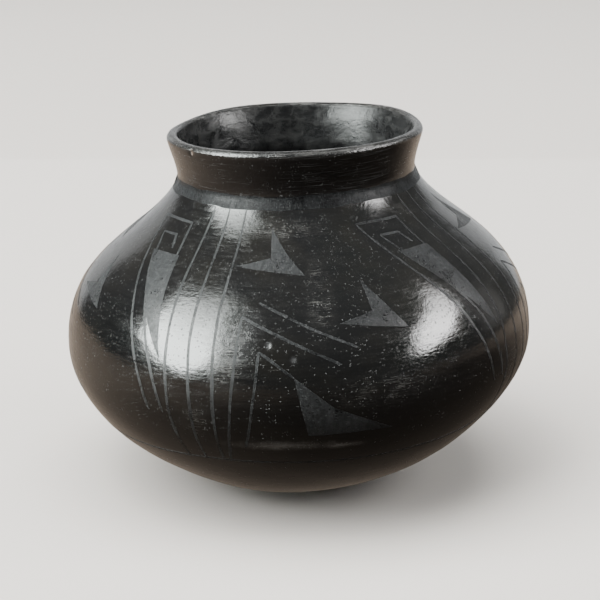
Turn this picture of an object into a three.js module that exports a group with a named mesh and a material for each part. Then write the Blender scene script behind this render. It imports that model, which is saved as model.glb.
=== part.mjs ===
// A coil-built black clay jar: a wide, low olla with a short flared neck and a rounded lip.
// The wall is modelled as the courses of clay that the potter joins before firing: a pressed
// round base, five wall coils, a neck coil and a rim coil. Neighbouring courses meet in scarf
// joints, with a hairline gap between the solids.
// Millimetres, +Z up. The origin is on the resting plane, under the middle of the belly.

import * as THREE from "three";

// Driving dimensions.
const BELLY_RADIUS = 100;
const BELLY_HEIGHT = 64; // where the wall is widest
const FOOT_RADIUS = 30; // the flat patch it stands on
const NECK_RADIUS = 50.3; // at the corner between shoulder and neck
const NECK_HEIGHT = 134;
const LIP_RADIUS = 54.2;
const RIM_HEIGHT = 153;

// How the outline leaves and enters those points.
const FOOT_RISE = 14.4; // degrees above the floor, where the wall leaves the foot
const FOOT_PULL = 29;
const BELLY_PULL_DOWN = 29;
const BELLY_PULL_UP = 40.5;
const SHOULDER_PULL = 26;
const SHOULDER_RISE = 63.5; // degrees, where the shoulder turns up into the neck
const NECK_PULL = 5.8;
const NECK_FLARE = 1.5;

// Wall thickness, from the middle of the base to the lip.
const BASE_WALL = 7;
const RIM_WALL = 4.8;

// Hand-built irregularity: the courses tilt a little, and the neck stands to one side of the foot.
const TILT = 2.27; // degrees, up towards +X
const LEAN = 1.18; // degrees, towards -X
const SETTLE_HEIGHT = 10; // below this the clay has settled flat on its foot

// Courses: where each one ends, measured along the outside from the middle of the foot.
const COURSES = [
  { name: "base_tortilla", end: 66 },
  { name: "lower_wall_coil", end: 92 },
  { name: "lower_belly_coil", end: 119 },
  { name: "belly_coil", end: 148 },
  { name: "upper_belly_coil", end: 179 },
  { name: "shoulder_coil", end: 209 },
  { name: "neck_coil", end: 227.5 },
  { name: "rim_coil", end: Infinity },
];
const SCARF = 5; // how far a joint slants from the outside down to the inside
const JOINT_GAP = 0.5; // along the wall
const STEP = 8; // between points along the outline
const LIP_STEPS = 6;
const SEGMENTS = 64;

const CLAY = { color: 0x17181a, roughness: 0.3, metalness: 0 };

const radians = THREE.MathUtils.degToRad;

// The outline of the outside, from the middle of the foot to the top of the neck.
function outsideCurve() {
  const lipTop = RIM_HEIGHT - RIM_WALL / 2;
  const foot = new THREE.Vector2(FOOT_RADIUS, 0);
  const belly = new THREE.Vector2(BELLY_RADIUS, BELLY_HEIGHT);
  const neck = new THREE.Vector2(NECK_RADIUS, NECK_HEIGHT);
  const lip = new THREE.Vector2(LIP_RADIUS, lipTop);
  const rise = radians(FOOT_RISE);
  const turn = radians(SHOULDER_RISE);
  const curve = new THREE.CurvePath();
  curve.add(new THREE.LineCurve(new THREE.Vector2(0, 0), foot));
  curve.add(
    new THREE.CubicBezierCurve(
      foot,
      new THREE.Vector2(FOOT_RADIUS + FOOT_PULL * Math.cos(rise), FOOT_PULL * Math.sin(rise)),
      new THREE.Vector2(BELLY_RADIUS, BELLY_HEIGHT - BELLY_PULL_DOWN),
      belly,
    ),
  );
  curve.add(
    new THREE.CubicBezierCurve(
      belly,
      new THREE.Vector2(BELLY_RADIUS, BELLY_HEIGHT + BELLY_PULL_UP),
      new THREE.Vector2(
        NECK_RADIUS + SHOULDER_PULL * Math.cos(turn),
        NECK_HEIGHT - SHOULDER_PULL * Math.sin(turn),
      ),
      neck,
    ),
  );
  curve.add(
    new THREE.CubicBezierCurve(
      neck,
      new THREE.Vector2(NECK_RADIUS, NECK_HEIGHT + NECK_PULL),
      new THREE.Vector2(LIP_RADIUS - NECK_FLARE, lipTop - NECK_PULL),
      lip,
    ),
  );
  return curve;
}

const outside = outsideCurve();
const outsideLength = outside.getLength();

function wallAt(distance) {
  return THREE.MathUtils.lerp(BASE_WALL, RIM_WALL, distance / outsideLength);
}

function outerPoint(distance) {
  return outside.getPoint(distance / outsideLength);
}

// The inside face is the outside moved in by the wall's thickness, square to the wall.
function innerPoint(distance) {
  const along = outside.getTangent(distance / outsideLength);
  const inwards = new THREE.Vector2(-along.y, along.x);
  return outerPoint(distance).addScaledVector(inwards, wallAt(distance));
}

// Distances from start to end, about STEP apart, both ends included.
function stations(start, end) {
  const count = Math.max(2, Math.ceil(Math.abs(end - start) / STEP));
  return Array.from({ length: count + 1 }, (_, i) => start + ((end - start) * i) / count);
}

// The half-round lip, from the outer face over the top to the inner one.
function lipPoints() {
  const outer = outerPoint(outsideLength);
  const inner = innerPoint(outsideLength);
  const centre = outer.clone().add(inner).multiplyScalar(0.5);
  const arm = outer.clone().sub(centre);
  return Array.from({ length: LIP_STEPS - 1 }, (_, i) =>
    arm.clone().rotateAround(new THREE.Vector2(), (Math.PI * (i + 1)) / LIP_STEPS).add(centre),
  );
}

// A course's closed section: up its outer face, across the joint or lip, down its inner face,
// and back to the start.
function section(start, end) {
  const first = start === 0;
  const last = end === Infinity;
  const outerStart = first ? 0 : start + (SCARF + JOINT_GAP) / 2;
  const innerStart = first ? 0 : start + (JOINT_GAP - SCARF) / 2;
  const outerEnd = last ? outsideLength : end + (SCARF - JOINT_GAP) / 2;
  const innerEnd = last ? outsideLength : end - (SCARF + JOINT_GAP) / 2;
  const points = stations(outerStart, outerEnd).map(outerPoint);
  if (last) points.push(...lipPoints());
  points.push(...stations(innerEnd, innerStart).map(innerPoint));
  if (first) {
    points[0].x = 0;
    points[points.length - 1].x = 0;
  } else {
    points.push(points[0].clone());
  }
  return points;
}

// Tilts the courses and leans the jar, leaving the foot flat on the floor.
function setByHand(geometry) {
  const position = geometry.attributes.position;
  for (let i = 0; i < position.count; i++) {
    const x = position.getX(i);
    const z = position.getZ(i);
    const settled = THREE.MathUtils.smoothstep(z, 0, SETTLE_HEIGHT);
    position.setX(i, x - (z - BELLY_HEIGHT) * Math.tan(radians(LEAN)));
    position.setZ(i, z + x * Math.tan(radians(TILT)) * settled);
  }
  geometry.computeVertexNormals();
  return geometry;
}

function course(name, start, end) {
  const geometry = new THREE.LatheGeometry(section(start, end), SEGMENTS);
  geometry.rotateX(Math.PI / 2); // a lathe turns about Y, and the jar stands along Z
  const mesh = new THREE.Mesh(setByHand(geometry), new THREE.MeshStandardMaterial(CLAY));
  mesh.name = name;
  return mesh;
}

const jar = new THREE.Group();
let start = 0;
for (const { name, end } of COURSES) {
  jar.add(course(name, start, end));
  start = end;
}

export default jar;
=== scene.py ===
"""A coil-built, smoke-fired black clay jar, burnished with a stone and painted with figures in matte slip.

The eight courses of clay come from one surface, so that they meet without a seam, as they do once the
potter has smoothed and burnished them. The painted slip is a thin skin of its own pieces on that surface.
Inside the functions lengths are in millimetres and angles round the jar in radians, with 0 facing -Y and
positive towards +X. Meshes are made in metres.
"""

import math

import bpy
import numpy as np
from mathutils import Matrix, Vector
from mathutils.geometry import delaunay_2d_cdt


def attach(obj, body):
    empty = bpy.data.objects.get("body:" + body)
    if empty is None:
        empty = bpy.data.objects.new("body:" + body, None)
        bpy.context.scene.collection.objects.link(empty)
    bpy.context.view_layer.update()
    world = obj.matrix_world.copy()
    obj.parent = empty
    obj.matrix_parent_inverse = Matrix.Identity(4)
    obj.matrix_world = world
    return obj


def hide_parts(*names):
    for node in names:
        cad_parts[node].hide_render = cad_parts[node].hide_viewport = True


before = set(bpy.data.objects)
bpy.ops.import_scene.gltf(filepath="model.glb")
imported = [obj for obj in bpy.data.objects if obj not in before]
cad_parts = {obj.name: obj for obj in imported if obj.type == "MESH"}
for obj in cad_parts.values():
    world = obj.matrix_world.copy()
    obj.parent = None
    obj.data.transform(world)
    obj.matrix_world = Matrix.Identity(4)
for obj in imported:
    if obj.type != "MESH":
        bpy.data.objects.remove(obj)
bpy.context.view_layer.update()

MM = 0.001

# ---------------------------------------------------------------- the jar's outline, as in the CAD part
BELLY_RADIUS = 100
BELLY_HEIGHT = 64
FOOT_RADIUS = 30
NECK_RADIUS = 50.3
NECK_HEIGHT = 134
LIP_RADIUS = 54.2
RIM_HEIGHT = 153
FOOT_RISE = 14.4  # degrees
FOOT_PULL = 29
BELLY_PULL_DOWN = 29
BELLY_PULL_UP = 40.5
SHOULDER_PULL = 26
SHOULDER_RISE = 63.5  # degrees
NECK_PULL = 5.8
NECK_FLARE = 1.5
BASE_WALL = 7
RIM_WALL = 4.8
TILT = 2.27  # degrees, up towards +X
LEAN = 1.18  # degrees, towards -X
SETTLE_HEIGHT = 10  # the tilt is full from here up, so that the foot stays flat
COURSES = {  # where each course of clay ends, measured along the outside
    "base_tortilla": 66,
    "lower_wall_coil": 92,
    "lower_belly_coil": 119,
    "belly_coil": 148,
    "upper_belly_coil": 179,
    "shoulder_coil": 209,
    "neck_coil": 227.5,
    "rim_coil": None,
}
SCARF = 5  # how far a joint slants between the outside and the inside
FILLET = 1.3  # softening of the crease under the neck
UNDERCUT = 0.9  # how much the inside is hollowed out below the lip
UNDERCUT_STARTS = (4, 13)  # how far below the lip it sets in
UNDERCUT_ENDS = (35, 70)  # and how far below the lip it dies away
DENT_FALL = 1.6  # how steeply a dent's sides fall
RIM_WAVE = 0.45  # how far the rim rises and falls, near enough
RIM_WAVE_FROM = 138  # the height where that begins
EVEN_FOOT = 14  # the unevenness grows from nothing over this distance round the foot
EVEN_LIP = 16  # and the wall's goes over to the lip's over this one
OUT_OF_ROUND = 0.34  # how far the broad swells of the wall stand out or in, near enough
HAND_MARKS = 0.035
STONE_FACETS = 0.006  # what the burnishing stone leaves
INNER_SWELLS = 0.22
LIP_SWELLS = 0.24

# ---------------------------------------------------------------- how finely the surfaces are made
FOOT_POINTS = 100  # across the foot, before the outline is divided evenly
CURVE_POINTS = 400  # and on each of its curves
OUTLINE_POINTS = 1200
LIP_POINTS = 60  # on the half circle over the lip
AROUND = 600  # points round the jar
OUTER_STEP = 1.1  # between rows on the outside
INNER_STEP = 2.6
LIP_STEP = 0.5
SLOPE_REACH = 0.25  # the surface's slope is measured this far to both sides of a point
SLOPE_SWING = SLOPE_REACH / 60  # and this far round the jar, in radians


def smooth(x, low, high):
    """A smooth step from 0 to 1 as x goes from low to high."""
    share = np.clip((x - low) / (high - low), 0, 1)
    return share * share * (3 - 2 * share)


def bezier(start, pull_start, pull_end, end):
    """Points on a curve that leaves start towards pull_start and comes to end from pull_end."""
    t = np.linspace(0, 1, CURVE_POINTS)[:, None]
    corners = [np.array(p, float) for p in (start, pull_start, pull_end, end)]
    weights = ((1 - t) ** 3, 3 * (1 - t) ** 2 * t, 3 * (1 - t) * t**2, t**3)
    return sum(w * c for w, c in zip(weights, corners))


def arc_lengths(points):
    """How far along a line of points each of them is."""
    return np.concatenate([[0], np.cumsum(np.hypot(*np.diff(points, axis=0).T))])


def outline():
    """Points (radius, height) up the outside from the middle of the foot, with the neck's crease softened."""
    rise, turn = math.radians(FOOT_RISE), math.radians(SHOULDER_RISE)
    lip_height = RIM_HEIGHT - RIM_WALL / 2
    foot, belly = (FOOT_RADIUS, 0), (BELLY_RADIUS, BELLY_HEIGHT)
    neck, lip = (NECK_RADIUS, NECK_HEIGHT), (LIP_RADIUS, lip_height)
    leave_foot = (FOOT_RADIUS + FOOT_PULL * math.cos(rise), FOOT_PULL * math.sin(rise))
    reach_neck = (NECK_RADIUS + SHOULDER_PULL * math.cos(turn), NECK_HEIGHT - SHOULDER_PULL * math.sin(turn))
    leave_neck = (NECK_RADIUS, NECK_HEIGHT + NECK_PULL)
    reach_lip = (LIP_RADIUS - NECK_FLARE, lip_height - NECK_PULL)
    points = np.concatenate([
        np.linspace((0, 0), foot, FOOT_POINTS)[:-1],
        bezier(foot, leave_foot, (BELLY_RADIUS, BELLY_HEIGHT - BELLY_PULL_DOWN), belly)[:-1],
        bezier(belly, (BELLY_RADIUS, BELLY_HEIGHT + BELLY_PULL_UP), reach_neck, neck)[:-1],
        bezier(neck, leave_neck, reach_lip, lip),
    ])
    along = arc_lengths(points)
    even = np.linspace(0, along[-1], OUTLINE_POINTS)
    points = np.stack([np.interp(even, along, points[:, i]) for i in (0, 1)], 1)
    step = even[1]
    reach = int(FILLET * 3 / step)
    kernel = np.exp(-0.5 * (np.arange(-reach, reach + 1) * step / FILLET) ** 2)
    kernel /= kernel.sum()
    padded = np.pad(points, ((reach, reach), (0, 0)), mode="edge")
    soft = np.stack([np.convolve(padded[:, i], kernel, "valid") for i in (0, 1)], 1)
    crease = even[np.argmin(np.abs(points[:, 1] - NECK_HEIGHT))]
    near = 1 - smooth(np.abs(even - crease), FILLET * 2, FILLET * 5)
    return points + (soft - points) * near[:, None]


OUTLINE = outline()
OUTLINE_AT = arc_lengths(OUTLINE)
LENGTH = OUTLINE_AT[-1]
LIP_LENGTH = math.pi * RIM_WALL / 2
LAP = 2 * LENGTH + LIP_LENGTH  # outside, lip and inside; the inside is measured by the outside behind it
LINING_START = LENGTH + 0.85 * LIP_LENGTH  # the burnishing ends just over the lip


def section():
    """Distances along the whole section, and its points (radius, height): outside, lip and inside."""
    slope = np.gradient(OUTLINE, axis=0)
    slope /= np.hypot(slope[:, 0], slope[:, 1])[:, None]
    inwards = np.stack([-slope[:, 1], slope[:, 0]], 1)
    wall = BASE_WALL + (RIM_WALL - BASE_WALL) * OUTLINE_AT / LENGTH
    inside = OUTLINE + inwards * wall[:, None]
    inside[:, 0] = np.maximum(inside[:, 0], 0)
    centre = (OUTLINE[-1] + inside[-1]) / 2
    arm = OUTLINE[-1] - centre
    swing = np.linspace(0, math.pi, LIP_POINTS)[1:-1]
    lip = centre + np.stack([
        arm[0] * np.cos(swing) - arm[1] * np.sin(swing),
        arm[0] * np.sin(swing) + arm[1] * np.cos(swing),
    ], 1)
    distance = np.concatenate([OUTLINE_AT, LENGTH + LIP_LENGTH * swing / math.pi, (LAP - OUTLINE_AT)[::-1]])
    return distance, np.concatenate([OUTLINE, lip, inside[::-1]])


SECTION_AT, SECTION = section()
SECTION_SLOPE = np.gradient(SECTION, axis=0)
SECTION_SLOPE /= np.hypot(SECTION_SLOPE[:, 0], SECTION_SLOPE[:, 1])[:, None]


def ripples(turn, along, seed, number, around, lengths):
    """A smooth uneven field near -1 to 1: the sum of a number of waves. Each has a whole number of crests
    round the jar, in the range around, and a length up the wall in the range lengths."""
    draw = np.random.default_rng(seed)
    total = 0.0
    for _ in range(number):
        count = draw.integers(around[0], around[1] + 1)
        pitch = draw.choice([-1, 1]) * 2 * math.pi / draw.uniform(*lengths)
        total = total + np.cos(count * turn + pitch * along + draw.uniform(0, 2 * math.pi))
    return total / math.sqrt(number / 2) / 1.5


def dent(turn, along, at_degrees, at, width, height):
    """A round hollow in the surface: 1 in its middle, 0.2 at its edge and fading to 0 outside it."""
    radius = np.interp(at, OUTLINE_AT, OUTLINE[:, 0])
    across = (turn - math.radians(at_degrees)) * radius / (width / 2)
    up = (along - at) / (height / 2)
    return np.exp(-DENT_FALL * (across**2 + up**2))


# Knocks in the belly and chips in the lip: degrees round, distance along, width, height, depth.
KNOCKS = [
    (-7, 154.5, 3.6, 4.6, 0.50), (-1, 149, 3.2, 4.2, 0.52), (24, 149, 3.2, 2.6, 0.06),
    (-31, 187, 1.8, 2.4, 0.05), (57, 176, 2.4, 3.0, 0.06), (118, 160, 3.4, 3.0, 0.10),
    (160, 138, 2.8, 2.2, 0.09), (-100, 150, 3.0, 3.4, 0.08), (-140, 171, 2.4, 2.0, 0.07),
    (203, 150, 3.6, 2.8, 0.09), (8, 196, 2.0, 2.8, 0.05), (-58, 163, 2.2, 3.0, 0.06),
]
CHIPS = [(-51, 236.9, 3.8, 3.2, 0.75), (31, 237.6, 3.0, 2.2, 0.20), (140, 238, 3.4, 2.6, 0.35)]


def unevenness(turn, along):
    """How far the hand-made surface stands out of the turned one, along its normal."""
    outside = along <= LENGTH + LIP_LENGTH / 2
    behind = np.where(outside, along, LAP - along)
    free = smooth(behind, FOOT_RADIUS, FOOT_RADIUS + EVEN_FOOT)
    shape = ripples(turn, along, 3, 9, (1, 5), (70, 200)) * OUT_OF_ROUND
    hand = ripples(turn, along, 5, 16, (6, 22), (14, 50)) * HAND_MARKS
    facets = ripples(turn, along, 8, 24, (8, 46), (4, 11)) * STONE_FACETS
    inner = ripples(turn, along, 11, 14, (3, 16), (16, 60)) * INNER_SWELLS
    total = np.where(outside, shape + hand + facets, -shape + inner) * free
    near_lip = smooth(behind, LENGTH - EVEN_LIP, LENGTH)
    at_lip = ripples(turn, 0 * along, 21, 7, (1, 7), (50, 90))
    total = total * (1 - near_lip) + near_lip * at_lip * LIP_SWELLS
    below_lip = LENGTH - behind
    undercut = UNDERCUT * smooth(below_lip, *UNDERCUT_STARTS) * (1 - smooth(below_lip, *UNDERCUT_ENDS))
    total = total - np.where(outside, 0, undercut)
    for at_degrees, at, width, height, depth in KNOCKS + CHIPS:
        total = total - depth * dent(turn, along, at_degrees, at, width, height)
    return total


def surface(turn, along, proud=0.0):
    """The jar's surface in millimetres, at angles round it and distances along its section."""
    radius = np.interp(along, SECTION_AT, SECTION[:, 0])
    height = np.interp(along, SECTION_AT, SECTION[:, 1])
    slope = np.stack([np.interp(along, SECTION_AT, SECTION_SLOPE[:, i]) for i in (0, 1)], -1)
    slope /= np.maximum(np.hypot(slope[..., 0], slope[..., 1]), 1e-9)[..., None]
    out = unevenness(turn, along) + proud
    radius = np.maximum(radius + slope[..., 1] * out, 0)
    height = height - slope[..., 0] * out
    rim_wave = RIM_WAVE * ripples(turn, 0 * along, 31, 6, (2, 6), (50, 90))
    height = height + smooth(height, RIM_WAVE_FROM, RIM_HEIGHT) * rim_wave
    x, y = radius * np.sin(turn), -radius * np.cos(turn)
    lifted = height + x * math.tan(math.radians(TILT)) * smooth(height, 0, SETTLE_HEIGHT)
    return np.stack([x - (height - BELLY_HEIGHT) * math.tan(math.radians(LEAN)), y, lifted], -1)


def normals(turn, along):
    """Directions straight out of the surface. In the middle of the foot, where its slopes can't be measured,
    they are down on the outside and up on the inside."""
    across = surface(turn + SLOPE_SWING, along) - surface(turn - SLOPE_SWING, along)
    above, below = np.minimum(along + SLOPE_REACH, LAP), np.maximum(along - SLOPE_REACH, 0)
    up = surface(turn, above) - surface(turn, below)
    normal = np.cross(across, up)
    size = np.linalg.norm(normal, axis=-1, keepdims=True)
    downwards = np.where((along < LENGTH)[..., None], -1.0, 1.0) * np.array([0, 0, 1.0])
    return np.where(size > 1e-5, normal / np.maximum(size, 1e-9), downwards)


# ---------------------------------------------------------------- meshes
def make_piece(name, points, faces, corner_normals, wrap, slot, materials, which=None, stands_for=()):
    """A closed mesh with its own shading normals. wrap unrolls the surface for the materials, and which gives
    each face's place in the list of materials."""
    mesh = bpy.data.meshes.new(name)
    mesh.from_pydata((points * MM).tolist(), [], faces)
    attribute = mesh.attributes.new("wrap", "FLOAT_VECTOR", "POINT")
    attribute.data.foreach_set("vector", (wrap * MM).astype(np.float32).ravel())
    mesh.polygons.foreach_set("use_smooth", [True] * len(mesh.polygons))
    mesh.normals_split_custom_set(corner_normals.tolist())
    for material in materials:
        mesh.materials.append(material)
    if which is not None:
        mesh.polygons.foreach_set("material_index", which)
    piece = bpy.data.objects.new(name, mesh)
    bpy.context.scene.collection.objects.link(piece)
    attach(piece, "root")
    if stands_for:
        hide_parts(*stands_for)


def radius_at(along):
    """The jar's radius at distances along the outside."""
    return np.interp(along, OUTLINE_AT, OUTLINE[:, 0])


def unroll(turn, along):
    """A point's place on the unrolled surface: on a circle of the belly's size, and how far along it is. Over
    the foot the circle shrinks to a point, so that nothing is drawn out into a star there."""
    circle = BELLY_RADIUS * np.minimum(1, radius_at(np.minimum(along, LAP - along)) / FOOT_RADIUS)
    return np.stack([circle * np.sin(turn), -circle * np.cos(turn), along], -1)


def rows_between(low, high):
    """Evenly spaced distances from low to high, closer together outside than inside."""
    step = OUTER_STEP if low < LENGTH else INNER_STEP
    return np.linspace(low, high, math.ceil((high - low) / step) + 1)


def ring_faces(row_a, row_b, count):
    """Quads between two rows of points, or triangles where one row is a single point."""
    faces = []
    for i in range(count):
        j = (i + 1) % count
        a = [row_a[0]] if len(row_a) == 1 else [row_a[i], row_a[j]]
        b = [row_b[0]] if len(row_b) == 1 else [row_b[j], row_b[i]]
        faces.append(a + b)
    return faces


def make_course(node, start, end, materials):
    """One course of clay: outer face, the joint or lip above it, inner face and the joint below it."""
    first, last = start == 0, end is None
    turn = np.arange(AROUND) / AROUND * 2 * math.pi - math.pi
    if last:
        low, high = start + SCARF / 2, LAP - (start - SCARF / 2)
        rows = np.linspace(low, high, math.ceil((high - low) / LIP_STEP) + 1)
        joint_above = None
    else:
        outer = rows_between(0 if first else start + SCARF / 2, end + SCARF / 2)
        inner = rows_between(LAP - (end - SCARF / 2), LAP if first else LAP - (start - SCARF / 2))
        rows = np.concatenate([outer, inner])
        joint_above = len(outer) - 1
    points, shading, wrap, index = [], [], [], []
    for along in rows:
        pole = along in (0, LAP)
        angles = turn[:1] if pole else turn
        at = np.full(len(angles), along)
        index.append(list(range(len(points), len(points) + len(angles))))
        row = surface(angles, at)
        if pole:
            row[:, :2] = [[BELLY_HEIGHT * math.tan(math.radians(LEAN)), 0]]
        points.extend(row)
        shading.extend(normals(angles, at))
        wrap.extend(unroll(angles, at))
    points, shading, wrap = (np.array(values) for values in (points, shading, wrap))
    faces, joint, which = [], [], []
    pairs = [(i, i + 1) for i in range(len(rows) - 1)]
    if not first:
        pairs.append((len(rows) - 1, 0))
    for a, b in pairs:
        made = ring_faces(index[a], index[b], AROUND)
        faces.extend(made)
        joint.extend([a == joint_above or b == 0] * len(made))
        which.extend([int(rows[a] > LINING_START)] * len(made))
    corner_normals = []
    for face, is_joint in zip(faces, joint):
        if is_joint:
            corners = points[face]
            flat = np.cross(corners[2] - corners[0], corners[-1] - corners[1])
            corner_normals.extend([flat / np.linalg.norm(flat)] * len(face))
        else:
            corner_normals.extend(shading[face])
    shape = points, faces, np.array(corner_normals), wrap
    make_piece(f"{node}_burnished", *shape, "burnished_clay", materials, which, [node])


# ---------------------------------------------------------------- painted slip
SLIP_PROUD = 0.05
SLIP_SUNK = -0.04
LINE_WIDTH = 1.1
TAPER_LENGTH = 7
WIDTH_WAVES = ((0.10, 33), (0.07, 12))  # how large, as a share of LINE_WIDTH, and how long
DRIFT_WAVES = ((0.10, 56), (0.05, 19))  # the same for how far a stroke strays to its sides
MITRE_LIMIT = 0.6  # keeps the corners of a stroke from growing into spikes
BOW_CORNERS = 9
DART_NOTCH = 0.36  # as a share of its length
POINT_STEP = 1.1  # between points along a painted edge
FILL_STEP = 1.9
BAND_FILL_STEP = 0.9  # finer, to follow the crease under the neck
FILL_CLEARANCE = 0.55  # how far the points inside an outline keep from its edge, in steps
INSIDE_ONLY = 1  # for delaunay_2d_cdt: no faces outside the outline
WELD = 1e-5


def sampled(corners, closed):
    """Points about POINT_STEP apart on straight strokes between corners (degrees, distance along)."""
    corners = [np.array(c, float) for c in corners]
    pairs = list(zip(corners, corners[1:] + corners[:1])) if closed else list(zip(corners, corners[1:]))
    points = []
    for a, b in pairs:
        wide = math.radians(b[0] - a[0]) * radius_at((a[1] + b[1]) / 2)
        count = max(1, round(math.hypot(wide, b[1] - a[1]) / POINT_STEP))
        points.extend(a + (b - a) * i / count for i in range(count))
    if not closed:
        points.append(corners[-1])
    return np.array(points)


def bowed(start, end, bow):
    """Corners of a gently curved stroke. bow is how far its middle stands to the right, in degrees."""
    t = np.linspace(0, 1, BOW_CORNERS)
    across = start[0] + (end[0] - start[0]) * t + bow * 4 * t * (1 - t)
    return list(zip(across, start[1] + (end[1] - start[1]) * t))


def waves(gone, sizes_lengths, phases):
    """A sum of waves along a stroke. Each ends as it began, so that strokes can meet."""
    total = 0
    for (size, length), phase in zip(sizes_lengths, phases):
        count = max(1, round(gone[-1] / length))
        total = total + size * np.sin(2 * math.pi * count * gone / gone[-1] + phase)
    return total


def stroke(corners, seed, width=LINE_WIDTH, taper=(0.6, 0.6), waver=1.0):
    """The outline of a brush line along corners, uneven by waver, and narrower at its two ends."""
    path = sampled(corners, closed=False)
    radius = radius_at(path[:, 1])
    flat = np.stack([np.radians(path[:, 0]) * radius.mean(), path[:, 1]], 1)
    gone = arc_lengths(flat)
    steps = np.diff(flat, axis=0)
    steps /= np.linalg.norm(steps, axis=1)[:, None]
    sides = np.stack([-steps[:, 1], steps[:, 0]], 1)
    before, after = np.vstack([sides[:1], sides]), np.vstack([sides, sides[-1:]])
    side = before + after
    side /= np.maximum((side * after).sum(1), MITRE_LIMIT)[:, None]
    draw = np.random.default_rng(seed)
    phases = draw.uniform(0, 6.28, 4)
    uneven = waver * waves(gone, WIDTH_WAVES, phases[:2])
    left = gone[-1] - gone
    ends = np.minimum(1, taper[0] + gone / TAPER_LENGTH) * np.minimum(1, taper[1] + left / TAPER_LENGTH)
    half = ((width + LINE_WIDTH * uneven) / 2 * ends)[:, None]
    drift = waver * waves(gone, DRIFT_WAVES, phases[2:])
    middle = flat + side * drift[:, None]
    both = np.vstack([middle + side * half, (middle - side * half)[::-1]])
    return np.stack([np.degrees(both[:, 0] / radius.mean()), both[:, 1]], 1)


def filled(corners, seed):
    """The outline of a filled figure, its edges a little uneven."""
    path = sampled(corners, closed=True)
    draw = np.random.default_rng(seed)
    gone = np.arange(len(path))
    wobble = 0.07 * np.sin(gone / 4.1 + draw.uniform(0, 6)) + 0.05 * np.sin(gone / 1.7 + draw.uniform(0, 6))
    path[:, 1] += wobble
    path[:, 0] += np.degrees(np.roll(wobble, 7) / radius_at(path[:, 1]))
    return path


def inside_of(points, outline_points):
    """Which points lie inside a closed outline, by counting crossings."""
    a, b = outline_points, np.roll(outline_points, -1, axis=0)
    x, y = points[:, 0][:, None], points[:, 1][:, None]
    spans = (a[:, 1] > y) != (b[:, 1] > y)
    rise = np.where(b[:, 1] == a[:, 1], 1e-12, b[:, 1] - a[:, 1])
    hits = spans & (x < (b[:, 0] - a[:, 0]) * (y - a[:, 1]) / rise + a[:, 0])
    return hits.sum(1) % 2 == 1


def triangulated(edge, step):
    """Points and triangles that fill a closed outline in millimetres, fine enough to follow the jar."""
    low, high = edge.min(0), edge.max(0)
    grid = np.stack(np.meshgrid(*(np.arange(low[i], high[i], step) for i in (0, 1))), -1).reshape(-1, 2)
    from_edge = np.array([np.min(np.hypot(*(edge - p).T)) for p in grid])
    grid = grid[(from_edge > step * FILL_CLEARANCE) & inside_of(grid, edge)]
    every = [Vector(p) for p in np.vstack([edge, grid])]
    count = len(edge)
    borders = [(i, (i + 1) % count) for i in range(count)]
    points, _, faces, *_ = delaunay_2d_cdt(every, borders, [], INSIDE_ONLY, WELD)
    return np.array([tuple(p) for p in points]), [list(f) for f in faces]


def make_paint(name, outlines, material, fill_step=FILL_STEP):
    """One painted piece: each outline (degrees, distance along) becomes a thin closed skin on the jar."""
    points, faces, shading, wrap = [], [], [], []
    for edge in outlines:
        scale = math.radians(1) * float(radius_at(edge[:, 1].mean()))
        flat, triangles = triangulated(np.stack([edge[:, 0] * scale, edge[:, 1]], 1), fill_step)
        turn, along = np.radians(flat[:, 0] / scale), flat[:, 1]
        outward = normals(turn, along)
        base, count = len(points), len(flat)
        for level in (SLIP_PROUD, SLIP_SUNK):
            points.extend(surface(turn, along, level))
            wrap.extend(unroll(turn, along))
        edges = []
        for tri in triangles:
            a, b, c = flat[tri]
            tri = tri if (b - a)[0] * (c - a)[1] - (b - a)[1] * (c - a)[0] > 0 else tri[::-1]
            faces.append([base + i for i in tri])
            shading.extend(outward[tri])
            faces.append([base + count + i for i in tri[::-1]])
            shading.extend(-outward[tri[::-1]])
            edges.extend(zip(tri, tri[1:] + tri[:1]))
        shared = set(edges)
        for i, j in edges:
            if (j, i) not in shared:
                face = [base + j, base + i, base + count + i, base + count + j]
                side = np.cross(points[face[1]] - points[face[0]], points[face[3]] - points[face[0]])
                faces.append(face)
                shading.extend([side / max(np.linalg.norm(side), 1e-12)] * 4)
    shape = np.array(points), faces, np.array(shading), np.array(wrap)
    make_piece(name, *shape, "matte_slip", [material])


def dart(at_degrees, at, heading, long, wide):
    """A filled arrowhead with a notched back. heading turns it, in degrees, from pointing right."""
    notch = -long / 2 + long * DART_NOTCH
    corners = [(long / 2, 0), (-long / 2, wide / 2), (notch, 0), (-long / 2, -wide / 2)]
    c, s = math.cos(math.radians(heading)), math.sin(math.radians(heading))
    radius = float(radius_at(at))
    return [(at_degrees + math.degrees((x * c - y * s) / radius), at + x * s + y * c) for x, y in corners]


PANELS = 4
FIRST_PANEL = -42  # degrees, the middle of the panel at the front left
NECK_BAND = (215, 220.5)  # in the crease under the neck
BASE_LINE = 100
FIGURES_TOP = 206
RING_SEED = 900  # the same in every panel, so that the rings join up


def panel_lines(middle, seed):
    """The long brush lines of one panel: three fall from the neck and two sweep in from the left."""
    strokes = []
    for k in range(3):
        fall = bowed((middle + 4 + 8 * k, NECK_BAND[0]), (middle + 12 + 5 * k, BASE_LINE), 1)
        strokes.append(stroke(fall, seed + k))
    for k in range(2):
        sweep = bowed((middle - 24 + 8 * k, FIGURES_TOP - 7 * k), (middle + 5 + 4 * k, 124), 3.5)
        strokes.append(stroke(sweep, seed + 3 + k))
    return strokes


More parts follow.
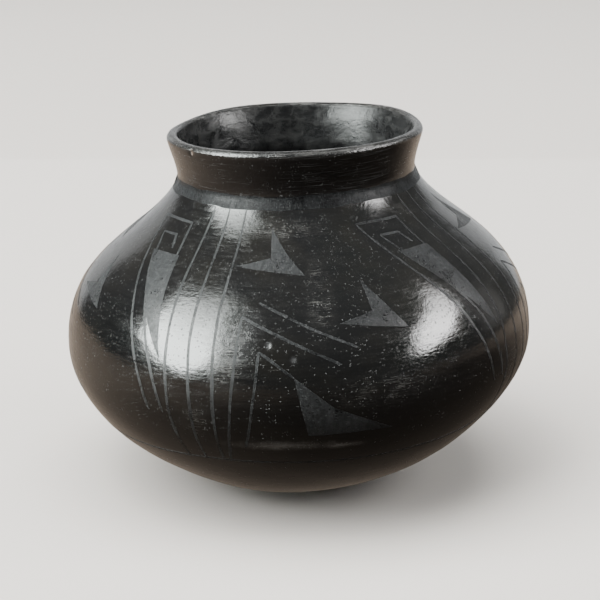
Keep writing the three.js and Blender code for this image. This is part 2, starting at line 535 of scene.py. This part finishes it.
def panel_fret(middle, seed):
    """A squared hook in two sizes, one inside the other, and a long plain wedge that hangs from it."""
    strokes = []
    for k, size in enumerate((1, 0.4)):
        left, top = middle - 24 + 8 * k, FIGURES_TOP - 7 * k
        hook = [(left, top), (left + 20 * size, top), (left + 20 * size + 3, top - 16 * size)]
        strokes.append(stroke(hook, seed + k))
    return [*strokes, filled([(middle - 13, 190), (middle, 190), (middle + 8, 146)], seed + 2)]


def panel_steps(middle, seed):
    """Two short falls to the right of the lines, three slanting lines and a filled wing under them."""
    strokes = []
    for k in range(2):
        left, top = middle + 28 + 5 * k, 166 - 14 * k
        fall = bowed((left, top), (left - 4, BASE_LINE + 10 * k), 0.6)
        slant = [(left, top), (left + 24 - 16 * k, top - 20 + 10 * k)]
        strokes.extend([stroke(fall, seed + 2 * k), stroke(slant, seed + 2 * k + 1)])
    strokes.append(stroke([(middle + 32, 172), (middle + 56, 152)], seed + 4))
    wing = [(middle + 41, 142), (middle + 44, 117), (middle + 64, 117), (middle + 50, 129)]
    return [*strokes, filled(wing, seed + 5)]


def panel_darts(middle, seed):
    """Two darts of one size, one below the other on a slant."""
    corners = [dart(middle + 36 + 27 * k, 191 - 27 * k, heading=-34, long=25, wide=22) for k in range(2)]
    return [filled(corners[k], seed + k) for k in range(2)]


def paint_jar(slip, thin_slip):
    """The same panel of figures over and over round the jar, each with its share of the two rings."""
    half = 180 / PANELS
    rings = (("neck_band", sum(NECK_BAND) / 2, NECK_BAND[1] - NECK_BAND[0], 3, thin_slip),
             ("base_line", BASE_LINE, LINE_WIDTH, 1, slip))
    for k in range(PANELS):
        middle = FIRST_PANEL + k * 360 / PANELS
        seed = 100 + 20 * k
        make_paint(f"slip_lines_{k + 1}", panel_lines(middle, seed), slip)
        make_paint(f"slip_fret_{k + 1}", panel_fret(middle, seed + 6), slip)
        make_paint(f"slip_steps_{k + 1}", panel_steps(middle, seed + 9), slip)
        make_paint(f"slip_darts_{k + 1}", panel_darts(middle, seed + 15), slip)
        for name, along, wide, waver, material in rings:
            ends = [(middle - half, along), (middle + half, along)]
            ring = stroke(ends, RING_SEED, width=wide, taper=(1, 1), waver=waver)
            make_paint(f"slip_{name}_{k + 1}", [ring], material, BAND_FILL_STEP)


# ---------------------------------------------------------------- materials
def add(tree, kind, inputs=None, **settings):
    """A new shader node. Each of its inputs is given a value, or a socket to be linked to."""
    node = tree.nodes.new(kind)
    for key, value in settings.items():
        setattr(node, key, value)
    for key, value in (inputs or {}).items():
        if isinstance(value, bpy.types.NodeSocket):
            tree.links.new(value, node.inputs[key])
        else:
            node.inputs[key].default_value = value
    return node


def math_node(tree, operation, *values):
    """One step of arithmetic on values or sockets."""
    node = add(tree, "ShaderNodeMath", dict(enumerate(values)), operation=operation)
    return node.outputs[0]


def times(tree, a, b):
    """The product of two values or sockets."""
    return math_node(tree, "MULTIPLY", a, b)


def plus(tree, a, b):
    """The sum of two values or sockets."""
    return math_node(tree, "ADD", a, b)


def ramp(tree, factor, low, high, to_low=0.0, to_high=1.0):
    """A smooth step from to_low to to_high as factor goes from low to high."""
    node = add(tree, "ShaderNodeMapRange", interpolation_type="SMOOTHSTEP", inputs={
        "Value": factor, "From Min": low, "From Max": high, "To Min": to_low, "To Max": to_high})
    return node.outputs[0]


def mix_colour(tree, factor, a, b):
    """A colour that goes from a to b as factor goes from 0 to 1."""
    a, b = ((*end, 1) if isinstance(end, tuple) else end for end in (a, b))
    return add(tree, "ShaderNodeMix", {0: factor, 6: a, 7: b}, data_type="RGBA").outputs[2]


def noise(tree, vector, detail, roughness, distortion=0.0):
    """Cloudy noise from 0 to 1 with features about one unit of vector wide."""
    node = add(tree, "ShaderNodeTexNoise", {
        "Vector": vector, "Scale": 1.0, "Detail": detail, "Roughness": roughness, "Distortion": distortion})
    return node.outputs["Fac"]


def wrap_place(tree):
    """Each point's place on the unrolled surface, in metres."""
    node = add(tree, "ShaderNodeAttribute", attribute_name="wrap", attribute_type="GEOMETRY")
    return node.outputs["Vector"]


def unrolled(tree, around_mm, along_mm, shift=0.0):
    """Coordinates on the unrolled surface in which one unit is around_mm round the jar and along_mm up it."""
    node = add(tree, "ShaderNodeMapping", {
        "Vector": wrap_place(tree), "Location": (shift, shift, shift),
        "Scale": (1000 / around_mm, 1000 / around_mm, 1000 / along_mm)})
    return node.outputs[0]


def bump(tree, height, distance_mm, normal=None):
    """Relief distance_mm deep where height goes from 0 to 1, on top of the relief in normal."""
    inputs = {"Height": height, "Distance": distance_mm * MM, "Strength": 1.0}
    if normal is not None:
        inputs["Normal"] = normal
    return add(tree, "ShaderNodeBump", inputs).outputs[0]


def new_material(name, base, roughness, specular=0.5):
    """A plain material, with its node tree and its shader."""
    material = bpy.data.materials.new(name)
    material.use_nodes = True
    material.diffuse_color = (*base, 1)
    shader = material.node_tree.nodes["Principled BSDF"]
    shader.inputs["Base Color"].default_value = (*base, 1)
    shader.inputs["Roughness"].default_value = roughness
    shader.inputs["Specular IOR Level"].default_value = specular
    return material, material.node_tree, shader


def band(tree, along, start, end, soft):
    """1 between two distances along the section, in millimetres, falling to 0 over soft on both sides."""
    rises = ramp(tree, along, (start - soft) * MM, start * MM)
    falls = ramp(tree, along, end * MM, (end + soft) * MM, 1, 0)
    return times(tree, rises, falls)


def spots(tree, place, ragged, ovals, core=0.1):
    """1 inside any of the ovals (degrees round, distance along, width, height), with ragged soft edges. core
    is the share of an oval's radius within which it is full."""
    total = 0.0
    for at_degrees, at, wide, tall, *_ in ovals:
        turn = math.radians(at_degrees)
        centre = Vector((BELLY_RADIUS * math.sin(turn), -BELLY_RADIUS * math.cos(turn), at)) * MM
        offset = add(tree, "ShaderNodeVectorMath", {0: place, 1: centre}, operation="SUBTRACT").outputs[0]
        size = (2000 / wide, 2000 / wide, 2000 / tall)
        scaled = add(tree, "ShaderNodeVectorMath", {0: offset, 1: size}, operation="MULTIPLY").outputs[0]
        away = add(tree, "ShaderNodeVectorMath", {0: scaled}, operation="LENGTH").outputs["Value"]
        torn = plus(tree, away, ragged)
        total = math_node(tree, "MAXIMUM", total, ramp(tree, torn, core, 1.1, 1, 0))
    return total


def speckles(tree, cell_mm, shift, rarity, size):
    """Small round specks, most of them tiny: one in each cell of a jittered net over the surface, except for
    a share of the cells, rarity. size is the largest one's radius, as a share of a cell."""
    net = unrolled(tree, cell_mm, cell_mm, shift)
    cells = add(tree, "ShaderNodeTexVoronoi", {"Vector": net, "Scale": 1.0})
    chosen = add(tree, "ShaderNodeSeparateColor", {"Color": cells.outputs["Color"]}).outputs[0]
    reach = ramp(tree, chosen, rarity, 1.0, 0, size)
    return ramp(tree, math_node(tree, "SUBTRACT", cells.outputs["Distance"], reach), -0.10, 0.0, 1, 0)


# Where handling has scuffed the burnish: degrees round, distance along, width, height.
SCUFFS = [
    (6, 173, 17, 52), (20, 134, 60, 19), (-24, 122, 16, 26), (-4, 206, 70, 13), (-17, 148, 22, 40),
    (62, 128, 30, 22), (108, 168, 26, 40), (150, 140, 50, 22), (196, 182, 22, 36), (-118, 150, 40, 26),
    (-75, 120, 24, 18), (236, 130, 30, 24),
]
HAZES = [(-13, 156, 20, 34), (150, 152, 36, 24), (-96, 178, 24, 20)]  # dulled and finely crazed
# Pale arcs on the ridge above the base: a painted highlight, also made duller.
RIDGE_HIGHLIGHTS = [(-4, 111.5, 54, 6.5), (10, 110.5, 26, 4.0), (170, 111, 46, 6.0)]  # on the ridge above the base


def burnished_clay():
    """The stone-burnished outside: near-black and glossy, streaked along the strokes, worn and pitted."""
    material, tree, shader = new_material("burnished_clay", (0.006, 0.006, 0.006), 0.15)
    place = wrap_place(tree)
    along = add(tree, "ShaderNodeSeparateXYZ", {"Vector": place}).outputs["Z"]
    lip = band(tree, along, LENGTH + 1.5, LENGTH + LIP_LENGTH - 1.0, 1.2)
    neck = band(tree, along, 221, LENGTH - 1, 3)

    patches = noise(tree, unrolled(tree, 48, 34), 3, 0.6)
    strokes = noise(tree, unrolled(tree, 17, 1.2, 3.1), 2.5, 0.6)
    fine_strokes = noise(tree, unrolled(tree, 8, 0.45, 7.7), 2, 0.6)
    grain = noise(tree, unrolled(tree, 0.5, 0.45, 1.3), 3, 0.65)
    smears = noise(tree, unrolled(tree, 9, 7, 8.8), 4, 0.65, 0.8)
    scratch_noise = noise(tree, unrolled(tree, 13, 0.22, 5.2), 1.5, 0.5)
    mark_noise = noise(tree, unrolled(tree, 6.5, 0.24, 19.6), 1.8, 0.5)
    lip_streaks = noise(tree, unrolled(tree, 22, 0.7, 2.9), 3, 0.65)
    neck_streak_noise = noise(tree, unrolled(tree, 30, 0.34, 33.1), 2.5, 0.6)
    peel = noise(tree, unrolled(tree, 2.4, 1.1, 40.7), 2, 0.6)
    lip_chatter = noise(tree, unrolled(tree, 3.2, 0.9, 44.9), 3, 0.6)
    swirl_noise = noise(tree, unrolled(tree, 5, 5, 14.1), 3, 0.6, 1.2)

    # Where each kind of wear is, from 0 to 1.
    tears = times(tree, math_node(tree, "SUBTRACT", smears, 0.5), 1.8)
    scuffed = spots(tree, place, tears, SCUFFS)
    hazy = spots(tree, place, tears, HAZES, 0.0)
    ridge_highlight = spots(tree, place, times(tree, tears, 0.9), RIDGE_HIGHLIGHTS, -0.2)
    knock_glints = spots(tree, place, tears, KNOCKS[:2], 0.0)
    bare = spots(tree, place, tears, CHIPS[:1], 0.2)
    worn = math_node(tree, "MAXIMUM", scuffed, ramp(tree, patches, 0.52, 0.72, 0.0, 0.6))
    worn = times(tree, worn, ramp(tree, smears, 0.47, 0.62))
    scratches = times(tree, ramp(tree, scratch_noise, 0.60, 0.70), worn)
    marked = times(tree, scuffed, ramp(tree, smears, 0.42, 0.58, 0.15, 1))
    marks = times(tree, ramp(tree, mark_noise, 0.56, 0.66), marked)
    dust = times(tree, scuffed, ramp(tree, smears, 0.42, 0.66, 0, 0.36))
    flecked = math_node(tree, "MAXIMUM", scuffed, ramp(tree, smears, 0.54, 0.66, 0.0, 0.7))
    flecks = times(tree, speckles(tree, 0.8, 2.2, 0.78, 0.40), flecked)
    pits = speckles(tree, 1.1, 6.4, 0.50, 0.38)
    from_swirl = math_node(tree, "ABSOLUTE", math_node(tree, "SUBTRACT", swirl_noise, 0.5))
    crazed = math_node(tree, "MAXIMUM", hazy, times(tree, scuffed, 0.3))
    hairlines = times(tree, ramp(tree, from_swirl, 0.0, 0.02, 1, 0), crazed)
    uneven_neck = times(tree, neck, ramp(tree, patches, 0.36, 0.56, 0.2, 1))
    neck_streaks = times(tree, ramp(tree, neck_streak_noise, 0.53, 0.74), uneven_neck)
    pale_lip = times(tree, lip, ramp(tree, lip_streaks, 0.48, 0.66, 0.06, 0.75))

    colour = mix_colour(tree, ramp(tree, patches, 0.40, 0.68),
                        (0.0028, 0.0030, 0.0032), (0.0060, 0.0058, 0.0049))
    colour = mix_colour(tree, ramp(tree, strokes, 0.35, 0.75, 0, 0.25), colour, (0.0075, 0.0075, 0.0070))
    tints = [  # what tints the clay, how strongly, and the tint
        # painted shade: the neck is tinted darker than the rest of the burnish
        (neck, 0.75, (0.0022, 0.0022, 0.0026)),
        (dust, 1.0, (0.022, 0.022, 0.021)),
        (scratches, 0.6, (0.085, 0.083, 0.076)),
        (marks, 0.5, (0.070, 0.069, 0.063)),
        (hazy, 0.35, (0.020, 0.021, 0.021)),
        (hairlines, 0.33, (0.070, 0.070, 0.068)),
        (flecks, 0.32, (0.110, 0.107, 0.098)),
        (pale_lip, 1.0, (0.072, 0.072, 0.070)),
        (neck_streaks, 0.85, (0.052, 0.054, 0.055)),
        # painted shade: the pits are tinted dark
        (pits, 0.8, (0.0020, 0.0020, 0.0020)),
        # painted highlight: pale arcs on the ridge above the base
        (ridge_highlight, 1.0, (0.085, 0.083, 0.079)),
        # painted highlight: glints at the two front knocks, which are made duller as well
        (knock_glints, 0.5, (0.050, 0.052, 0.054)),
        (bare, 1.0, (0.085, 0.056, 0.038)),
    ]
    for mask, amount, tint in tints:
        colour = mix_colour(tree, times(tree, mask, amount), colour, tint)
    tree.links.new(colour, shader.inputs["Base Color"])

    rough = ramp(tree, strokes, 0.3, 0.7, 0.075, 0.16)
    for mask, more in ((ramp(tree, grain, 0.3, 0.8), 0.05), (ramp(tree, smears, 0.48, 0.72), 0.10),
                       (scuffed, 0.06), (scratches, 0.20), (marks, 0.2), (hazy, 0.10), (hairlines, 0.12),
                       (flecks, 0.2), (pits, 0.10), (lip, 0.12), (neck_streaks, 0.12), (ridge_highlight, 0.2),
                       (knock_glints, 0.2), (bare, 0.6)):
        rough = plus(tree, rough, times(tree, mask, more))
    tree.links.new(math_node(tree, "MINIMUM", rough, 0.9), shader.inputs["Roughness"])

    relief = bump(tree, strokes, 0.034)
    for height, depth in ((fine_strokes, 0.009), (smears, 0.085), (peel, 0.060), (grain, 0.012),
                          (times(tree, lip_chatter, lip), 0.30)):
        relief = bump(tree, height, depth, relief)
    for mask, depth in ((pits, 0.085), (scratches, 0.010), (marks, 0.012), (hairlines, 0.012)):
        relief = bump(tree, math_node(tree, "SUBTRACT", 1.0, mask), depth, relief)
    tree.links.new(relief, shader.inputs["Normal"])
    return material


def clay_lining():
    """The inside, which the stone only reached near the mouth: duller, with rough sweeps, and darker deeper
    in as painted shade.
    """
    material, tree, shader = new_material("clay_lining", (0.006, 0.006, 0.006), 0.24, specular=0.17)
    patches = noise(tree, unrolled(tree, 15, 5, 21.3), 5, 0.65, 0.4)
    strokes = noise(tree, unrolled(tree, 15, 1.3, 17.5), 2.5, 0.6)
    grain = noise(tree, unrolled(tree, 0.6, 0.6, 12.9), 3, 0.65)
    along = add(tree, "ShaderNodeSeparateXYZ", {"Vector": wrap_place(tree)}).outputs["Z"]
    deep = ramp(tree, along, (LAP - LENGTH + 3) * MM, (LAP - LENGTH + 15) * MM)
    colour = mix_colour(tree, ramp(tree, patches, 0.38, 0.68),
                        (0.0062, 0.0065, 0.0068), (0.0180, 0.0186, 0.0182))
    colour = mix_colour(tree, ramp(tree, strokes, 0.55, 0.75, 0, 0.4), colour, (0.024, 0.024, 0.023))
    # painted shade: darker deeper inside the jar
    colour = mix_colour(tree, times(tree, deep, 0.2), colour, (0.0030, 0.0031, 0.0034))
    tree.links.new(colour, shader.inputs["Base Color"])
    rough = plus(tree, ramp(tree, patches, 0.36, 0.68, 0.16, 0.32), ramp(tree, grain, 0.3, 0.8, 0, 0.08))
    rough = plus(tree, rough, times(tree, deep, 0.08))
    tree.links.new(rough, shader.inputs["Roughness"])
    relief = bump(tree, strokes, 0.05)
    relief = bump(tree, patches, 0.40, relief)
    tree.links.new(bump(tree, grain, 0.02, relief), shader.inputs["Normal"])
    return material


def painted_slip(name, worn, specular):
    """Matte slip. worn, from 0 up, lets more of the burnished clay under it show through."""
    material, tree, shader = new_material(name, (0.0075, 0.0082, 0.0090), 0.5, specular)
    brush = noise(tree, unrolled(tree, 1.6, 9, 4.4), 3, 0.6)
    grain = noise(tree, unrolled(tree, 0.85, 0.75, 9.1), 3, 0.7)
    mottle = noise(tree, unrolled(tree, 3.2, 2.6, 36.3), 4, 0.7, 0.5)
    thin = noise(tree, unrolled(tree, 13, 10, 6.0), 4, 0.65)
    wiped = noise(tree, unrolled(tree, 9, 0.22, 25.2), 1.5, 0.5)
    patchy = times(tree, plus(tree, brush, mottle), 0.5)
    colour = mix_colour(tree, ramp(tree, patchy, 0.38, 0.62),
                        (0.0034, 0.0039, 0.0043), (0.0150, 0.0160, 0.0167))
    torn = plus(tree, times(tree, mottle, 0.4), thin)
    bare = ramp(tree, torn, 0.64 - worn, 0.90 - worn)
    colour = mix_colour(tree, times(tree, bare, 0.8), colour, (0.0040, 0.0042, 0.0045))
    colour = mix_colour(tree, ramp(tree, grain, 0.54, 0.72, 0, 0.50), colour, (0.030, 0.031, 0.031))
    colour = mix_colour(tree, ramp(tree, grain, 0.46, 0.30, 0, 0.65), colour, (0.0025, 0.0026, 0.0028))
    colour = mix_colour(tree, ramp(tree, wiped, 0.64, 0.73, 0, 0.35), colour, (0.050, 0.051, 0.050))
    for shift, amount, tint in ((5.5, 0.45, (0.045, 0.047, 0.048)), (11.5, 0.6, (0.0020, 0.0021, 0.0023))):
        specks = speckles(tree, 1.0, shift, 0.40, 0.46)
        colour = mix_colour(tree, times(tree, specks, amount), colour, tint)
    tree.links.new(colour, shader.inputs["Base Color"])
    rough = plus(tree, ramp(tree, grain, 0.38, 0.62, 0.28, 0.54), ramp(tree, patchy, 0.38, 0.62, 0.14, 0))
    rough = plus(tree, rough, times(tree, bare, -0.16))
    tree.links.new(rough, shader.inputs["Roughness"])
    relief = bump(tree, brush, 0.020)
    relief = bump(tree, mottle, 0.050, relief)
    tree.links.new(bump(tree, grain, 0.10, relief), shader.inputs["Normal"])
    return material


# ---------------------------------------------------------------- stage, light and camera
# The soft boxes light what is dull and don't show in reflections. What the burnish reflects is a set of
# glowing panels that the camera doesn't see: two windows, each with a dim glow round it, a dim doorway, the
# table that the jar stands on and the wall behind it. Of these only the table also lights what is dull, in
# place of the floor, which is there for the camera and the shadows alone. Lengths from here on are in metres.
FLOOR_REACH = 7.0
SOFT_BOX_DISTANCE = 3.6
WINDOW_DISTANCE = 2.4
GLOW_DISTANCE = 3.2
EYE_HEIGHT = 0.08  # directions are taken from the middle of the jar
WINDOW_SHADE = (0.3, 1.9, 0.25)  # how a window brightens away from where it is dimmest
# Outlines seen from the jar, in degrees round and up. Each is followed by its colour, its brightness and,
# for a window, the direction in which it is dimmest.
WINDOWS = {
    "left_window": (
        [(-90, 48), (-80, 57), (-60, 57), (-49, 38), (-44, 20), (-46, 8), (-57, 1), (-70, 4), (-88, 16)],
        (0.94, 1.0, 0.97), 50, (-78, 66)),
    "right_window": (
        [(57, 11), (64, 11), (78, 17), (92, 30), (97, 43), (90, 46), (75, 37), (60, 24)],
        (1.0, 0.99, 0.98), 38, (100, 60)),
}
DIM_PANELS = {
    "right_door": ([(100, 2), (122, 0), (122, 24), (100, 26)], (1.0, 0.98, 0.95), 0.7),
}
HALO = 1.16  # how much wider the dim glow behind each window is
HALO_BRIGHTNESS = 0.16
TABLE_REACH = 1.1  # to the left and to the right
TABLE_FRONT = -0.60
TABLE_BACK = 0.62
TABLE_LEVEL = -0.001  # just below the floor, so that it doesn't light it
TABLE_SHADE = ((0.26, -0.22, 0), 0.24, 0.62, 0.15)
WALL_LEFT = -0.60  # the wall stands at the back of the table
WALL_RIGHT = 0.50
WALL_TOP = 0.50
CAMERA_PLACE = (0.0004, -0.750, 0.3074)
CAMERA_DIP = 17.12  # degrees below level
CAMERA_LENS = 108.1
CAMERA_SENSOR = 36


def towards(azimuth, elevation, distance):
    """A point in a direction from the jar, in degrees from -Y towards +X and up from level."""
    az, el = math.radians(azimuth), math.radians(elevation)
    level = distance * math.cos(el)
    return Vector((level * math.sin(az), -level * math.cos(az), EYE_HEIGHT + distance * math.sin(el)))


def soft_box(name, azimuth, elevation, size, power, colour):
    """A broad lamp aimed at the jar. It lights what is dull, and doesn't show in reflections."""
    lamp = bpy.data.lights.new(name, "AREA")
    lamp.shape = "RECTANGLE"
    lamp.size, lamp.size_y = size
    lamp.energy = power
    lamp.color = colour
    light = bpy.data.objects.new(name, lamp)
    light.location = towards(azimuth, elevation, SOFT_BOX_DISTANCE)
    light.rotation_euler = (light.location - towards(0, 0, 0)).to_track_quat("Z", "Y").to_euler()
    light.visible_glossy = light.visible_camera = False
    bpy.context.scene.collection.objects.link(light)


def stage_panel(name, corners, material):
    """A flat face that belongs to the stage and not to the jar."""
    mesh = bpy.data.meshes.new(name)
    mesh.from_pydata(corners, [], [tuple(range(len(corners)))])
    mesh.materials.append(material)
    panel = bpy.data.objects.new(name, mesh)
    bpy.context.scene.collection.objects.link(panel)
    return panel


def level_corners(left, right, front, back, height):
    """The corners of a level rectangle."""
    return [(left, front, height), (right, front, height), (right, back, height), (left, back, height)]


def reflected(name, corners, colour, strength, shade=None, lights=False):
    """A glowing panel that the camera doesn't see, and that lights what is dull only if lights is set. shade
    is a point where it is dimmest, how far from there it begins to brighten and reaches its full strength,
    and what share of that it has at its dimmest."""
    material, tree, shader = new_material(name, (0, 0, 0), 1.0, specular=0.0)
    shader.inputs["Emission Color"].default_value = (*colour, 1)
    shader.inputs["Emission Strength"].default_value = strength
    if shade:
        point, near, full, share = shade
        place = add(tree, "ShaderNodeTexCoord").outputs["Object"]
        away = add(tree, "ShaderNodeVectorMath", {0: place, 1: point}, operation="DISTANCE").outputs["Value"]
        shaded = ramp(tree, away, near, full, share * strength, strength)
        tree.links.new(shaded, shader.inputs["Emission Strength"])
    panel = stage_panel(name, corners, material)
    panel.visible_camera = panel.visible_shadow = False
    panel.visible_diffuse = lights


def make_floor():
    """The pale floor, which neither shows in the burnish nor lights it."""
    corners = level_corners(-FLOOR_REACH, FLOOR_REACH, -FLOOR_REACH, FLOOR_REACH, 0)
    material, _, _ = new_material("pale_floor", (0.50, 0.475, 0.445), 0.7)
    floor = stage_panel("floor", corners, material)
    floor.visible_glossy = floor.visible_diffuse = False


def make_surroundings():
    """What the burnish reflects: the table, the wall behind it, the windows and the doorway."""
    table = level_corners(-TABLE_REACH, TABLE_REACH, TABLE_FRONT, TABLE_BACK, TABLE_LEVEL)
    reflected("table_in_reflections", table, (1.0, 0.82, 0.66), 0.82, TABLE_SHADE, lights=True)
    wall = [(WALL_LEFT, TABLE_BACK, 0), (WALL_RIGHT, TABLE_BACK, 0),
            (WALL_RIGHT, TABLE_BACK, WALL_TOP), (WALL_LEFT, TABLE_BACK, WALL_TOP)]
    reflected("wall_in_reflections", wall, (0.97, 0.99, 1.0), 1.1)
    for name, (outline_seen, colour, strength, shade) in WINDOWS.items():
        middle = np.mean(outline_seen, axis=0)
        wider = [middle + (np.array(corner) - middle) * HALO for corner in outline_seen]
        dimmed = (towards(*shade, WINDOW_DISTANCE), *WINDOW_SHADE)
        reflected(name, [towards(*c, WINDOW_DISTANCE) for c in outline_seen], colour, strength, dimmed)
        glow = [towards(*c, GLOW_DISTANCE) for c in wider]
        reflected(f"{name}_glow", glow, colour, strength * HALO_BRIGHTNESS)
    for name, (outline_seen, colour, strength) in DIM_PANELS.items():
        reflected(name, [towards(*c, GLOW_DISTANCE) for c in outline_seen], colour, strength)


def make_world():
    """A plain pale studio all round, a little brighter overhead."""
    world = bpy.data.worlds.new("studio")
    world.use_nodes = True
    tree = world.node_tree
    direction = add(tree, "ShaderNodeTexCoord").outputs["Generated"]
    up = add(tree, "ShaderNodeSeparateXYZ", {"Vector": direction}).outputs["Z"]
    tree.nodes["Background"].inputs["Color"].default_value = (0.99, 1.0, 0.965, 1)
    tree.links.new(ramp(tree, up, 0.0, 0.95, 0.16, 0.40), tree.nodes["Background"].inputs["Strength"])
    bpy.context.scene.world = world


def make_lights():
    """Three soft boxes: high on the left, smaller on the right, and overhead."""
    soft_box("left_fill", -62, 48, (3.6, 3.6), 470, (1.0, 0.99, 0.97))
    soft_box("right_fill", 80, 34, (2.3, 2.3), 92, (1.0, 0.99, 0.98))
    soft_box("top_fill", 0, 88, (3.0, 3.0), 265, (1.0, 1.0, 1.0))


def make_camera():
    """A camera in front of the jar that looks a little down at it."""
    camera = bpy.data.objects.new("camera", bpy.data.cameras.new("camera"))
    camera.data.sensor_width = CAMERA_SENSOR
    camera.data.lens = CAMERA_LENS
    camera.location = CAMERA_PLACE
    camera.rotation_euler = (math.radians(90 - CAMERA_DIP), 0, 0)
    bpy.context.scene.collection.objects.link(camera)
    bpy.context.scene.camera = camera


make_camera()
make_lights()
make_floor()
make_surroundings()
make_world()
clay_materials = [burnished_clay(), clay_lining()]
course_start = 0
for course_name, course_end in COURSES.items():
    make_course(course_name, course_start, course_end, clay_materials)
    course_start = course_end
paint_jar(painted_slip("matte_slip", 0, 0.28), painted_slip("thin_slip", 0.05, 0.08))
